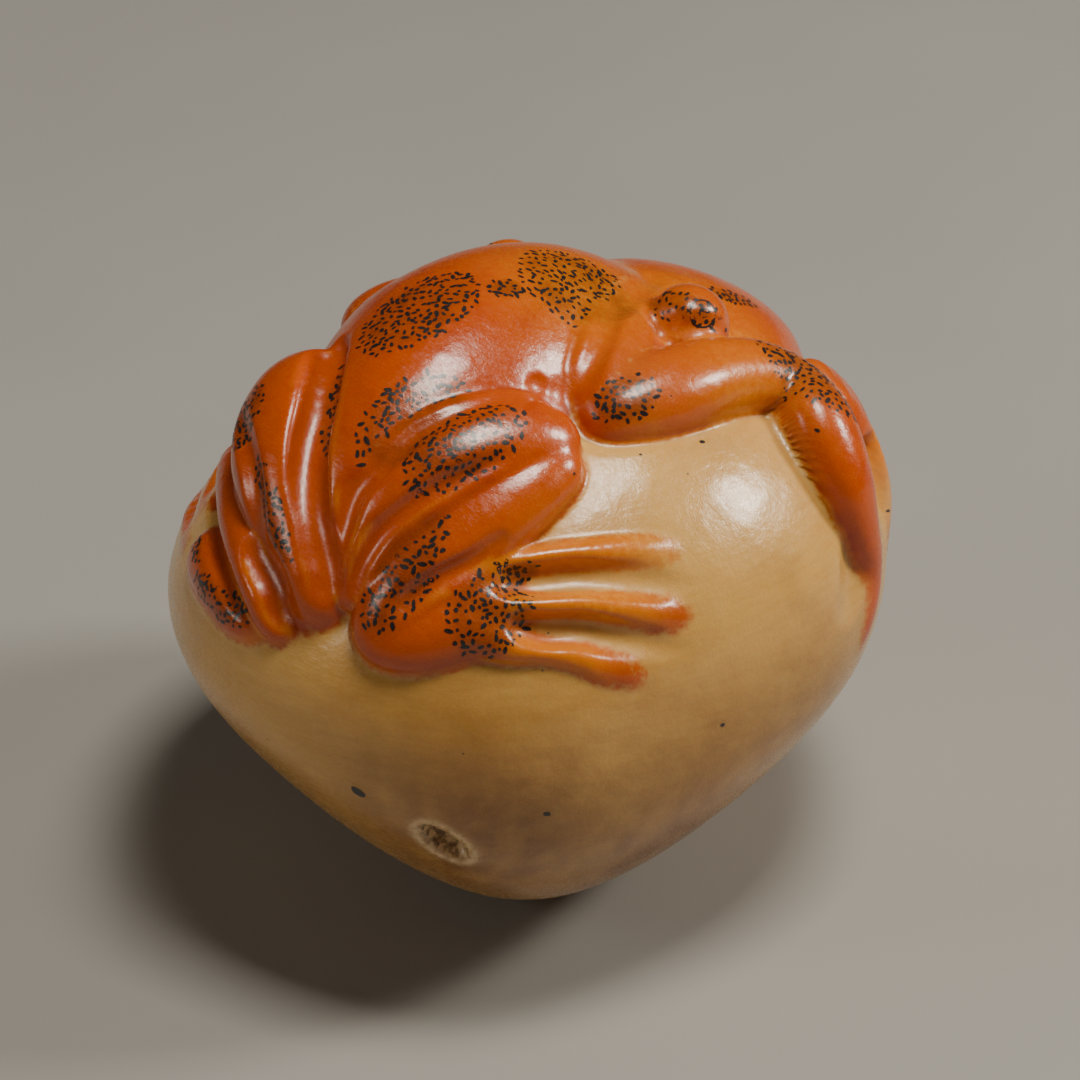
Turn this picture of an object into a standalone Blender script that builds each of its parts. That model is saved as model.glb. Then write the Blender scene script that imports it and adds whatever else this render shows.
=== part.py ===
"""Tagua nut carved as a crouching tree frog, one solid piece of vegetable ivory.

The frog lies in relief over the top of the nut. Its head points to -Y and its right side is -X.
Lengths in the constants are in millimetres and angles are in degrees.
"""
import bpy
import bmesh
import numpy as np

NAME = "tagua_frog_carving"
MM = 0.001

# The nut: a rounded body inside twenty soft faces set around its centre.
NUT_CENTRE = (0.0, 0.0, 21.5)
NUT_SHARPNESS = 0.26
NUT_TOP_FACE = 22.2
NUT_UPPER_FACES = (23.4, 21.0, 25.6, 24.7, 25.0, 24.7)
NUT_MIDDLE_FACES = (28.4, 28.1, 28.5, 29.3, 24.7, 25.5)
NUT_LOWER_FACES = (26.6, 26.7, 21.4, 28.3, 20.6, 24.7)
NUT_BOTTOM_FACE = 25.8
NUT_RING_TILT = 45.0
NUT_RING_START = (39.0, 9.0, 39.0)

# The worn flat spot under the nut.
BASE_LEVEL = 1.1

# The frog's back: a tapering dome.
BACK_CENTRE = (1.5, 4.6, 28.7)
BACK_HALF_SIZE = (12.4, 20.0, 17.2)
BACK_TAPER_FROM = 7.0
BACK_TAPER_LENGTH = 14.0
BACK_TAPER = 0.24

# The head and its eyes.
HEAD_FLATNESS = 1.9
HEAD = ((0, 82, 8.0, 2.0), (-3, 71, 9.0, 1.0), (-4, 60, 9.4, 0.9), (-5, 48, 8.8, 1.9), (-6, 36, 5.8, 1.9))
EYE_AZIMUTH = -52.0
EYE_ELEVATION = 63.0
EYE_RADIUS = 2.8
EYE_HEIGHT = 3.3

# Limbs: stations of azimuth, elevation, half width and height above the nut.
CURVE_BLEND = 0.25
MIRROR_SHIFT = 2.0
THIGH_FLATNESS = 1.4
SHIN_FLATNESS = 1.35
TOE_FLATNESS = 1.2
RIGHT_THIGH = ((-171.5, 25.5, 1.9, 1.6), (-171.5, 30, 2.8, 2.7), (-171, 34.5, 3.4, 3.4),
               (-170, 38.5, 3.8, 4.0), (-167, 42.5, 4.0, 4.3), (-162.5, 46.5, 4.0, 4.3),
               (-156, 49.5, 3.8, 3.9), (-148, 52, 3.3, 3.3), (-140.5, 52, 2.5, 2.4))
RIGHT_SHIN = ((-139.5, 47.5, 2.4, 2.2), (-145.5, 44, 2.8, 2.5), (-151, 40, 3.0, 2.6),
              (-155.5, 36, 3.0, 2.6), (-159.5, 31.5, 2.9, 2.5), (-162.5, 27.5, 2.7, 2.3),
              (-164.5, 23.5, 2.5, 2.0), (-165.5, 20.5, 2.1, 1.5))
RIGHT_FOOT = ((-164.5, 19.5, 2.0, 1.5), (-161, 20, 2.2, 1.5), (-157, 22, 2.6, 1.4),
              (-152.5, 24, 2.6, 1.3), (-148.5, 25.5, 2.1, 1.0))
RIGHT_TOES = (
    ((-154.5, 27, 1.4, 1.4), (-151, 29.5, 1.1, 1.25), (-146.5, 31.5, 0.9, 1.05),
     (-139.5, 33, 0.8, 0.85), (-130, 33.5, 0.8, 0.65), (-121, 33, 0.9, 0.35), (-114, 31.5, 1.0, -0.3)),
    ((-150, 26, 1.2, 1.3), (-144.5, 26, 0.9, 1.15), (-138, 26, 0.75, 0.95), (-131.5, 25.5, 0.75, 0.75),
     (-124.5, 24, 0.85, 0.5), (-119.5, 22.5, 1.0, 0.25), (-115, 21.5, 1.1, -0.4)),
    ((-151, 22, 1.5, 1.3), (-145.5, 20, 1.0, 0.95), (-140.5, 19.5, 0.75, 0.7), (-135, 18, 0.75, 0.5),
     (-131, 16, 0.95, 0.3), (-127, 14.5, 1.0, 0.05), (-125, 13.5, 1.0, -0.4)),
)
LEFT_THIGH = ((-176.5, 21.5, 1.6, 0.9), (-178.5, 23, 2.1, 1.8), (178.5, 26.5, 2.6, 2.6),
              (173.5, 31, 3.3, 3.4), (169, 34, 3.8, 4.2), (163.5, 37.5, 4.3, 5.0),
              (159.5, 41, 4.5, 5.4), (156, 44, 4.3, 5.4))
LEFT_SHIN = ((177, 16.5, 1.4, 0.9), (174, 19, 1.7, 1.6), (170, 22, 1.9, 2.0), (164, 25, 2.0, 2.2),
             (155.5, 28, 2.0, 2.2), (144.5, 29.5, 1.8, 1.9))
LEFT_FOOT = ((172, 15, 1.4, 0.7), (167.5, 15.5, 1.8, 1.0), (161.5, 16.5, 2.0, 1.1),
             (153.5, 17, 2.0, 0.9))
LEFT_TOES = (((142, 22, 1.5, -0.1), (132, 26, 1.3, -0.1), (121, 28, 1.2, 0.1), (111, 28, 1.2, -0.3)),
             ((140, 19, 1.5, -0.1), (130, 19, 1.2, -0.1), (119, 19, 1.1, 0.1), (108, 18, 1.2, -0.3)),
             ((143, 14, 1.5, -0.1), (134, 13, 1.1, -0.1), (125, 11, 1.0, 0.1), (117, 9, 1.3, -0.3)))
RIGHT_UPPER_ARM = ((-40, 74, 3.2, 1.2), (-94, 73, 3.4, 2.3), (-114, 65, 2.8, 2.0), (-114, 61, 2.2, 1.2))
LEFT_UPPER_ARM = ((45, 72, 3.2, 1.2), (84, 68, 3.6, 2.4), (104, 59, 3.0, 3.4), (108, 55, 2.2, 3.2))
RIGHT_FOREARM = ((-118, 58, 1.9, 1.1), (-112.5, 59, 2.5, 1.8), (-102, 59, 3.0, 2.3),
                 (-87.5, 57.5, 3.0, 2.6), (-72, 54, 2.8, 2.7), (-63, 48.5, 2.5, 2.7),
                 (-60, 42.5, 2.4, 2.7), (-67, 38, 2.5, 3.5), (-70.5, 33, 2.3, 3.3),
                 (-72.5, 27.5, 2.0, 2.7), (-72.5, 21, 1.6, 1.7), (-70.5, 12, 1.3, 0.6),
                 (-73, 4, 1.3, 0.2), (-74.5, -0.5, 1.2, -0.3))
LEFT_FOREARM = ((108, 56, 2.5, 3.2), (90, 56, 2.8, 2.8), (68, 55, 2.9, 2.5), (54, 49, 2.7, 2.4),
                (47, 41, 2.4, 2.0), (46, 33, 2.1, 1.4), (51, 26, 1.7, 0.8), (57, 18, 1.4, 0.4),
                (64, 10, 1.2, -0.2))
RIGHT_FINGERS = (((-46, 37, 1.9, 1.9), (-40, 28, 1.4, 1.4), (-37, 20, 1.1, 0.8), (-35, 13, 1.2, -0.1)),
                 ((-48, 33, 1.8, 1.8), (-48, 23, 1.3, 1.2), (-49, 14, 1.1, 0.7), (-51, 6, 1.2, -0.2)))
RIGHT_FINGER_GAPS = (((-43, 24, 0.3), (-42, 17, 0.4), (-42, 10, -0.1)),
                     ((-51, 24, 0.2), (-54, 16, 0.4), (-57, 8, -0.1)))

# Hollows: stations of azimuth and elevation, a gouge radius and a depth for each.
ARM_HOLLOW = ((-127, 56, 0.3), (-118, 55, 0.5), (-106.5, 54.5, 0.6), (-96, 53.5, 0.6), (-84, 53, 0.6),
              (-72, 49, 0.6), (-59.5, 42, 0.6), (-56, 33.5, 0.6), (-61, 28, 0.6), (-68, 23.5, 0.6),
              (-74.5, 18, 0.5), (-80, 11.5, 0.3))
ARM_HOLLOW_RADIUS = 2.0
RIGHT_TOE_HOLLOWS = (
    ((-146, 29, -0.2), (-141, 29.5, 0.25), (-134.5, 30, 0.4), (-126.5, 29, 0.35), (-119.5, 27.5, 0.2),
     (-113, 26, -0.3)),
    ((-143.5, 22.5, -0.2), (-139.5, 22, 0.25), (-134.5, 22, 0.4), (-129, 20.5, 0.4),
     (-123, 18.5, 0.25), (-115.5, 16, -0.3)),
)
LEFT_TOE_HOLLOWS = (((135, 20, 0.2), (126, 21, 0.4), (112, 21, -0.1)),
                    ((137, 14, 0.2), (128, 13, 0.4), (115, 11, -0.1)))
TOE_HOLLOW_RADIUS = 1.05
FINGER_GAP_RADIUS = 0.9
# Creases between the parts: stations of azimuth, elevation and depth below the surface.
BACK_RIGHT_CUT = ((-173.5, 28.5, 0.2), (-174, 33.5, 0.4), (-174, 37.5, 0.45), (-172, 41, 0.45),
                  (-169, 45, 0.45), (-166, 49, 0.45), (-161, 52.5, 0.4), (-154.5, 56, 0.3),
                  (-146, 58.5, 0.1), (-138, 62, -0.3))
RIGHT_THIGH_CUT = ((-170.5, 25, 0.1), (-170, 28, 0.4), (-168, 33, 0.5), (-164.5, 37, 0.5),
                   (-160.5, 40.5, 0.5), (-156, 43.5, 0.4), (-150, 46.5, 0.15), (-145.5, 48.5, -0.3))
RIGHT_SHIN_CUT = ((-163.5, 23, -0.2), (-161.5, 25, 0.4), (-159.5, 27, 0.6), (-156, 29.5, 0.6),
                  (-152, 32, 0.5), (-148, 35.5, 0.2))
BACK_LEFT_CUT = ((154.5, 54, 0.8), (167, 48, 1.2), (172.5, 42, 1.2), (176.5, 37, 1.1),
                 (-179, 31.5, 0.8), (-176.5, 27.5, 0.5), (-173.5, 24.5, 0.1))
LEFT_THIGH_CUT = ((155, 38.5, 0.3), (161, 37, 0.4), (167, 33, 0.5), (171, 27, 0.5), (176, 22, 0.4),
                  (-180, 19.5, 0.1))
LEFT_SHIN_CUT = ((142.5, 22, 0.2), (151, 21.5, 0.3), (163.5, 19.5, 0.4), (171, 16, 0.2))
SHOULDER_CUT = ((-12.5, 63.5, 0.1), (-33, 71.5, 0.25), (-64.5, 75, 0.35), (-90.5, 74.5, 0.4),
                (-113, 69, 0.4), (-122.5, 65, 0.4), (-127.5, 62.5, 0.2))
EYE_CUT = ((-60.5, 72.5, 0.1), (-67, 69.5, 0.3), (-67, 66.5, 0.4), (-66.5, 63.5, 0.3),
           (-59.5, 58.5, 0.1))
CUT_RADIUS = 0.8
DEEP_CUT_RADIUS = 1.4
WIDE_CUT_RADIUS = 1.1
PORE = (-155, -12)
PORE_HALF_SIZE = (1.0, 1.9, 1.6)
PORE_TURN = -40.0

# Mesh density.
GRID = 80
MAX_TRIANGLES = 9400


def direction(azimuth, elevation):
    """Unit vectors: azimuth 0 is -Y, 90 is +X."""
    a = np.radians(azimuth)
    e = np.radians(elevation)
    return np.stack([np.sin(a) * np.cos(e), -np.cos(a) * np.cos(e), np.sin(e)], axis=-1)


def face_rings():
    """Normals and distances of the nut's soft faces."""
    normals = [direction(0.0, 90.0), direction(0.0, -90.0)]
    reach = [NUT_TOP_FACE, NUT_BOTTOM_FACE]
    rings = ((NUT_UPPER_FACES, NUT_RING_TILT), (NUT_MIDDLE_FACES, 0.0), (NUT_LOWER_FACES, -NUT_RING_TILT))
    for (faces, tilt), start in zip(rings, NUT_RING_START):
        for i, distance in enumerate(faces):
            normals.append(direction(start + i * 360.0 / len(faces), tilt))
            reach.append(distance)
    return np.array(normals), np.array(reach)


NORMALS, REACH = face_rings()


def nut(p):
    """Distance to the bare nut."""
    q = (p - np.array(NUT_CENTRE)) @ NORMALS.T - REACH
    top = q.max(axis=1)
    return top + np.log(np.exp(NUT_SHARPNESS * (q - top[:, None])).sum(axis=1)) / NUT_SHARPNESS


def gradient(shape, p, step=0.05):
    """Unit outward direction of a distance function."""
    sides = [shape(p + d) - shape(p - d) for d in np.eye(3) * step]
    g = np.stack(sides, axis=-1)
    return g / np.linalg.norm(g, axis=1, keepdims=True)


def onto(shape, rays, start=38.0, steps=40):
    """Points where rays from outside, towards the nut's centre, first meet a shape."""
    t = np.full(len(rays), start)
    centre = np.array(NUT_CENTRE)
    moving = np.arange(len(rays))
    for _ in range(steps):
        gap = shape(centre + rays[moving] * t[moving, None])
        t[moving] -= 0.85 * gap
        moving = moving[np.abs(gap) > 0.001]
        if not len(moving):
            break
    return centre + rays * t[:, None]


def curve(stations, steps=4):
    """Smooth curve through stations."""
    s = np.array(stations, dtype=float)
    e = np.vstack([2 * s[0] - s[1], s, 2 * s[-1] - s[-2]])
    rows = []
    for i in range(1, len(e) - 2):
        for t in np.arange(steps) / steps:
            rows.append(0.5 * (2 * e[i] + (e[i + 1] - e[i - 1]) * t
                               + (2 * e[i - 1] - 5 * e[i] + 4 * e[i + 1] - e[i + 2]) * t ** 2
                               + (3 * e[i] - e[i - 1] - 3 * e[i + 1] + e[i + 2]) * t ** 3))
    rows.append(e[-2])
    return np.array(rows)


def laid_on_nut(stations):
    """Surface points, normals and the remaining columns of curved stations."""
    s = np.array(stations, dtype=float)
    rays = direction(s[:, 0], s[:, 1])
    rows = curve(np.hstack([rays, s[:, 2:]]))
    rays = rows[:, :3] / np.linalg.norm(rows[:, :3], axis=1, keepdims=True)
    points = onto(nut, rays)
    return points, gradient(nut, points), rows[:, 3:]


def limb(stations, flatness):
    """A flattened roll along stations, standing proud of the nut."""
    points, normals, sizes = laid_on_nut(stations)
    centres = points + normals * (sizes[:, 1] - sizes[:, 0] / flatness)[:, None]
    return centres, sizes[:, 0], normals, flatness


def gouge(stations, radius):
    """A hollow along stations, cut below the nut's surface."""
    points, normals, sizes = laid_on_nut(stations)
    centres = points + normals * (radius - sizes[:, 0])[:, None]
    return centres, np.full(len(centres), radius), normals, 1.0


def cut(stations, radius):
    """A crease carved along stations on the finished surface."""
    s = np.array(stations, dtype=float)
    rays = direction(s[:, 0], s[:, 1])
    rows = curve(np.hstack([rays, s[:, 2:]]))
    rays = rows[:, :3] / np.linalg.norm(rows[:, :3], axis=1, keepdims=True)
    points = onto(uncut, rays)
    normals = gradient(uncut, points, 0.6)
    centres = points + normals * (radius - rows[:, 3])[:, None]
    return centres, np.full(len(centres), radius), normals, 1.0


def roll(p, shape):
    """Distance to a limb or a gouge."""
    centres, radii, normals, flatness = shape
    best = np.full(len(p), 1e9)
    low = centres.min(axis=0) - radii.max() - 3.0
    high = centres.max(axis=0) + radii.max() + 3.0
    near = np.all((p > low) & (p < high), axis=1)
    gap = np.linalg.norm(np.maximum(np.maximum(low - p, p - high), 0.0), axis=1) + 2.0
    best[~near] = gap[~near]
    q = p[near]
    found = np.full(len(q), 1e9)
    for i in range(len(centres) - 1):
        along = centres[i + 1] - centres[i]
        t = np.clip((q - centres[i]) @ along / (along @ along), 0.0, 1.0)[:, None]
        away = q - centres[i] - t * along
        n = normals[i] * (1 - t) + normals[i + 1] * t
        n /= np.linalg.norm(n, axis=1, keepdims=True)
        up = (away * n).sum(axis=1)
        size = np.sqrt((away ** 2).sum(axis=1) + (flatness ** 2 - 1) * up ** 2)
        radius = radii[i] + (radii[i + 1] - radii[i]) * t[:, 0]
        found = join(found, size - radius, CURVE_BLEND)
    best[near] = found / np.sqrt(flatness)
    return best


def ellipsoid(p, centre, half, turn=None):
    """Near distance to an ellipsoid."""
    q = p - np.array(centre)
    if turn is not None:
        q = q @ turn
    half = np.array(half)
    near = np.linalg.norm(q / half, axis=1)
    slope = np.linalg.norm(q / half ** 2, axis=1)
    return near * (near - 1) / np.maximum(slope, 1e-6)


def join(a, b, blend):
    """Union of two shapes with a soft crease."""
    h = np.clip(0.5 + 0.5 * (b - a) / blend, 0.0, 1.0)
    return b + (a - b) * h - blend * h * (1 - h)


def carve(a, b, blend):
    """Shape a with shape b cut away."""
    return -join(-a, b, blend)


def mirrored(stations):
    """The same stations on the frog's other side."""
    return tuple((MIRROR_SHIFT - s[0],) + tuple(s[1:]) for s in stations)


def eye(side):
    """Centre of one eye."""
    ray = direction(np.array([side * EYE_AZIMUTH]), np.array([EYE_ELEVATION]))
    point = onto(nut, ray)
    return point + gradient(nut, point) * (EYE_HEIGHT - EYE_RADIUS)


def pore_frame():
    """Centre and axes of the germ pore."""
    point = onto(nut, direction(np.array([PORE[0]]), np.array([PORE[1]])))
    out = gradient(nut, point)[0]
    level = np.cross(out, (0.0, 0.0, 1.0))
    level /= np.linalg.norm(level)
    rise = np.cross(level, out)
    a = np.radians(PORE_TURN)
    across = level * np.cos(a) + rise * np.sin(a)
    along = rise * np.cos(a) - level * np.sin(a)
    return point[0], np.stack([across, along, out], axis=1)


EYES = (eye(1), eye(-1))
THIGHS = (limb(RIGHT_THIGH, THIGH_FLATNESS), limb(LEFT_THIGH, TOE_FLATNESS))
SHINS = (limb(RIGHT_SHIN, SHIN_FLATNESS), limb(LEFT_SHIN, TOE_FLATNESS))
FEET = (limb(RIGHT_FOOT, THIGH_FLATNESS), limb(LEFT_FOOT, THIGH_FLATNESS))
TOES = (tuple(limb(t, TOE_FLATNESS) for t in RIGHT_TOES), tuple(limb(t, TOE_FLATNESS) for t in LEFT_TOES))
UPPER_ARMS = (limb(RIGHT_UPPER_ARM, TOE_FLATNESS), limb(LEFT_UPPER_ARM, TOE_FLATNESS))
FOREARMS = (limb(RIGHT_FOREARM, TOE_FLATNESS), limb(LEFT_FOREARM, TOE_FLATNESS))
FINGERS = (tuple(limb(f, TOE_FLATNESS) for f in RIGHT_FINGERS),
           tuple(limb(mirrored(f), TOE_FLATNESS) for f in RIGHT_FINGERS))
FINGER_GAPS = tuple(gouge(side(g), FINGER_GAP_RADIUS) for g in RIGHT_FINGER_GAPS for side in (tuple, mirrored))
SKULL = limb(HEAD, HEAD_FLATNESS)
HOLLOWS = (gouge(ARM_HOLLOW, ARM_HOLLOW_RADIUS), gouge(mirrored(ARM_HOLLOW), ARM_HOLLOW_RADIUS))
TOE_HOLLOWS = tuple(gouge(h, TOE_HOLLOW_RADIUS) for h in RIGHT_TOE_HOLLOWS + LEFT_TOE_HOLLOWS)
PORE_POINT, PORE_AXES = pore_frame()


def back(p):
    """Distance to the frog's back, narrowing towards the rear."""
    rear = np.clip((p[:, 1] - BACK_TAPER_FROM) / BACK_TAPER_LENGTH, 0.0, 1.0)
    q = p.copy()
    q[:, 0] = (p[:, 0] - BACK_CENTRE[0] + 1.2 * rear) / (1 - BACK_TAPER * rear ** 1.3) + BACK_CENTRE[0]
    return 0.85 * ellipsoid(q, BACK_CENTRE, BACK_HALF_SIZE)


def eyes(p):
    """Distance to the nearer eye."""
    return np.minimum(*(np.linalg.norm(p - centre, axis=1) for centre in EYES)) - EYE_RADIUS


def foot(p, side):
    """Distance to a hind foot with its toes."""
    d = roll(p, FEET[side])
    for toe in TOES[side]:
        d = join(d, roll(p, toe), 0.5)
    return d


def hand(p, side):
    """Distance to a forearm with its fingers."""
    d = roll(p, FOREARMS[side])
    for finger in FINGERS[side]:
        d = join(d, roll(p, finger), 0.5)
    return d


def uncut(p):
    """Distance to the carving before its creases are cut."""
    d = nut(p)
    for hollow in HOLLOWS:
        d = carve(d, roll(p, hollow), 0.8)
    d = join(d, back(p), 0.6)
    d = join(d, roll(p, SKULL), 0.8)
    d = join(d, eyes(p), 0.35)
    for side in (0, 1):
        d = join(d, roll(p, UPPER_ARMS[side]), 0.5)
        d = join(d, foot(p, side), 0.5)
        d = join(d, roll(p, SHINS[side]), 0.25)
        d = join(d, roll(p, THIGHS[side]), 0.25)
        d = join(d, hand(p, side), 0.6)
    for hollow in TOE_HOLLOWS + FINGER_GAPS:
        d = carve(d, roll(p, hollow), 0.4)
    return d


CUTS = (cut(BACK_RIGHT_CUT, WIDE_CUT_RADIUS),)
CUTS += tuple(cut(s, CUT_RADIUS) for s in (RIGHT_THIGH_CUT, RIGHT_SHIN_CUT, LEFT_SHIN_CUT,
                                          EYE_CUT))
CUTS += tuple(cut(s, DEEP_CUT_RADIUS) for s in (BACK_LEFT_CUT, LEFT_THIGH_CUT, SHOULDER_CUT))


def carving(p):
    """Distance to the whole carving."""
    d = uncut(p)
    for crease in CUTS:
        d = carve(d, roll(p, crease), 0.3)
    d = carve(d, ellipsoid(p, PORE_POINT, PORE_HALF_SIZE, PORE_AXES), 0.3)
    return np.maximum(d, BASE_LEVEL - p[:, 2])


# Mesh building.
def sphere_grid(n):
    """A cube grid swollen to a unit sphere."""
    bm = bmesh.new()
    bmesh.ops.create_cube(bm, size=2.0)
    bmesh.ops.subdivide_edges(bm, edges=bm.edges[:], cuts=n - 1, use_grid_fill=True)
    return bm


def settle(verts, rounds=3):
    """Pull points onto the carving along its own slope."""
    for _ in range(rounds):
        verts = verts - gradient(carving, verts, 0.03) * carving(verts)[:, None] * 0.8
    return verts


def build_mesh():
    """The carving as one closed mesh in metres, standing on its flat spot."""
    bm = sphere_grid(GRID)
    cube = np.array([v.co[:] for v in bm.verts])
    even = np.tan(cube * np.pi / 4)
    rays = even / np.linalg.norm(even, axis=1, keepdims=True)
    verts = settle(onto(carving, rays))
    verts[:, 2] = np.where(verts[:, 2] < BASE_LEVEL + 0.03, BASE_LEVEL, verts[:, 2])
    middle = (verts.min(axis=0) + verts.max(axis=0)) / 2
    verts -= (middle[0], middle[1], BASE_LEVEL)
    for v, co in zip(bm.verts, verts * MM):
        v.co = co
    bmesh.ops.recalc_face_normals(bm, faces=bm.faces[:])
    bmesh.ops.triangulate(bm, faces=bm.faces[:])
    mesh = bpy.data.meshes.new(NAME)
    bm.to_mesh(mesh)
    bm.free()
    return mesh


def material():
    """Polished, dyed vegetable ivory."""
    m = bpy.data.materials.new("carved_tagua")
    m.use_nodes = True
    shader = m.node_tree.nodes["Principled BSDF"]
    shader.inputs["Base Color"].default_value = (0.72, 0.42, 0.16, 1.0)
    shader.inputs["Roughness"].default_value = 0.3
    m.diffuse_color = (0.72, 0.42, 0.16, 1.0)
    return m


def clear():
    """An empty scene."""
    for ob in list(bpy.data.objects):
        bpy.data.objects.remove(ob, do_unlink=True)


def main():
    clear()
    collection = bpy.data.collections.new(NAME)
    bpy.context.scene.collection.children.link(collection)
    mesh = build_mesh()
    ob = bpy.data.objects.new(NAME, mesh)
    collection.objects.link(ob)
    mesh.materials.append(material())
    reduce = ob.modifiers.new("fewer_faces", "DECIMATE")
    reduce.ratio = MAX_TRIANGLES / len(mesh.polygons)
    mesh.polygons.foreach_set("use_smooth", np.ones(len(mesh.polygons), dtype=bool))


main()
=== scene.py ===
"""Visual model of the tagua nut carved as a crouching tree frog: shape, dye, ink stipple and polish.

The frog lies in relief over the top of the nut. Its head points to -Y and its right side is -X.
Lengths in the constants are in millimetres and angles are in degrees.
"""
import bpy
import bmesh
import numpy as np
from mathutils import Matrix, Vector, noise
from mathutils.bvhtree import BVHTree


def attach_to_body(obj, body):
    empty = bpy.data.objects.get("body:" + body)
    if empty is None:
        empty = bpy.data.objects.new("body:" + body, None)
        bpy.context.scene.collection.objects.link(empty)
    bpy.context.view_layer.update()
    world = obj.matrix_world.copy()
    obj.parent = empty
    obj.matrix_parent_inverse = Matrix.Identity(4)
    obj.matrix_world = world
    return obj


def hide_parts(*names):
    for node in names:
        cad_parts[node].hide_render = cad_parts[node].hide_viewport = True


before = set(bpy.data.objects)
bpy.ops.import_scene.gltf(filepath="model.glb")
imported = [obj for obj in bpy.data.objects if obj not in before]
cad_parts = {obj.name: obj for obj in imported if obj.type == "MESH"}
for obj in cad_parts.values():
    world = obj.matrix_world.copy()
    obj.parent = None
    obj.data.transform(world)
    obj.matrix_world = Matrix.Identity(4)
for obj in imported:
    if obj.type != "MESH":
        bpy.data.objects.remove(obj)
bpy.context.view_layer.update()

NODE = "tagua_frog_carving"
MM = 0.001
SEED = 7
GRID = 127

# From the nut's own frame to the part's frame.
SHIFT = (1.378, 0.162)

# The nut: a rounded body inside twenty soft faces set around its centre.
NUT_CENTRE = (0.0, 0.0, 21.5)
NUT_SHARPNESS = 0.26
NUT_TOP_FACE = 22.2
NUT_UPPER_FACES = (23.4, 21.0, 25.6, 24.7, 25.0, 24.7)
NUT_MIDDLE_FACES = (28.4, 28.1, 28.5, 29.3, 24.7, 25.5)
NUT_LOWER_FACES = (26.6, 26.7, 21.4, 28.3, 20.6, 24.7)
NUT_BOTTOM_FACE = 25.8
NUT_RING_TILT = 45.0
NUT_RING_START = (39.0, 9.0, 39.0)

# The worn flat spot under the nut.
BASE_LEVEL = 1.1

# The frog's back: a tapering dome.
BACK_CENTRE = (1.5, 4.6, 28.7)
BACK_HALF_SIZE = (12.4, 20.0, 17.2)
BACK_TAPER_FROM = 7.0
BACK_TAPER_LENGTH = 14.0
BACK_TAPER = 0.24

# The head and its eyes.
HEAD_FLATNESS = 1.9
HEAD = ((0, 82, 8.0, 2.0), (-3, 71, 9.0, 1.0), (-4, 60, 9.4, 0.9), (-5, 48, 8.8, 1.9), (-6, 36, 5.8, 1.9))
EYE_AZIMUTH = -52.0
EYE_ELEVATION = 63.0
EYE_RADIUS = 2.8
EYE_HEIGHT = 3.3

# Limbs: stations of azimuth, elevation, half width and height above the nut.
CURVE_BLEND = 0.25
MIRROR_SHIFT = 2.0
THIGH_FLATNESS = 1.4
SHIN_FLATNESS = 1.35
TOE_FLATNESS = 1.2
RIGHT_THIGH = ((-171.5, 25.5, 1.9, 1.6), (-171.5, 30, 2.8, 2.7), (-171, 34.5, 3.4, 3.4),
               (-170, 38.5, 3.8, 4.0), (-167, 42.5, 4.0, 4.3), (-162.5, 46.5, 4.0, 4.3),
               (-156, 49.5, 3.8, 3.9), (-148, 52, 3.3, 3.3), (-140.5, 52, 2.5, 2.4))
RIGHT_SHIN = ((-139.5, 47.5, 2.4, 2.2), (-145.5, 44, 2.8, 2.5), (-151, 40, 3.0, 2.6),
              (-155.5, 36, 3.0, 2.6), (-159.5, 31.5, 2.9, 2.5), (-162.5, 27.5, 2.7, 2.3),
              (-164.5, 23.5, 2.5, 2.0), (-165.5, 20.5, 2.1, 1.5))
RIGHT_FOOT = ((-164.5, 19.5, 2.0, 1.5), (-161, 20, 2.2, 1.5), (-157, 22, 2.6, 1.4),
              (-152.5, 24, 2.6, 1.3), (-148.5, 25.5, 2.1, 1.0))
RIGHT_TOES = (
    ((-154.5, 27, 1.4, 1.4), (-151, 29.5, 1.1, 1.25), (-146.5, 31.5, 0.9, 1.05),
     (-139.5, 33, 0.8, 0.85), (-130, 33.5, 0.8, 0.65), (-121, 33, 0.9, 0.35), (-114, 31.5, 1.0, -0.3)),
    ((-150, 26, 1.2, 1.3), (-144.5, 26, 0.9, 1.15), (-138, 26, 0.75, 0.95), (-131.5, 25.5, 0.75, 0.75),
     (-124.5, 24, 0.85, 0.5), (-119.5, 22.5, 1.0, 0.25), (-115, 21.5, 1.1, -0.4)),
    ((-151, 22, 1.5, 1.3), (-145.5, 20, 1.0, 0.95), (-140.5, 19.5, 0.75, 0.7), (-135, 18, 0.75, 0.5),
     (-131, 16, 0.95, 0.3), (-127, 14.5, 1.0, 0.05), (-125, 13.5, 1.0, -0.4)),
)
LEFT_THIGH = ((-176.5, 21.5, 1.6, 0.9), (-178.5, 23, 2.1, 1.8), (178.5, 26.5, 2.6, 2.6),
              (173.5, 31, 3.3, 3.4), (169, 34, 3.8, 4.2), (163.5, 37.5, 4.3, 5.0),
              (159.5, 41, 4.5, 5.4), (156, 44, 4.3, 5.4))
LEFT_SHIN = ((177, 16.5, 1.4, 0.9), (174, 19, 1.7, 1.6), (170, 22, 1.9, 2.0), (164, 25, 2.0, 2.2),
             (155.5, 28, 2.0, 2.2), (144.5, 29.5, 1.8, 1.9))
LEFT_FOOT = ((172, 15, 1.4, 0.7), (167.5, 15.5, 1.8, 1.0), (161.5, 16.5, 2.0, 1.1),
             (153.5, 17, 2.0, 0.9))
LEFT_TOES = (((142, 22, 1.5, -0.1), (132, 26, 1.3, -0.1), (121, 28, 1.2, 0.1), (111, 28, 1.2, -0.3)),
             ((140, 19, 1.5, -0.1), (130, 19, 1.2, -0.1), (119, 19, 1.1, 0.1), (108, 18, 1.2, -0.3)),
             ((143, 14, 1.5, -0.1), (134, 13, 1.1, -0.1), (125, 11, 1.0, 0.1), (117, 9, 1.3, -0.3)))
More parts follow.
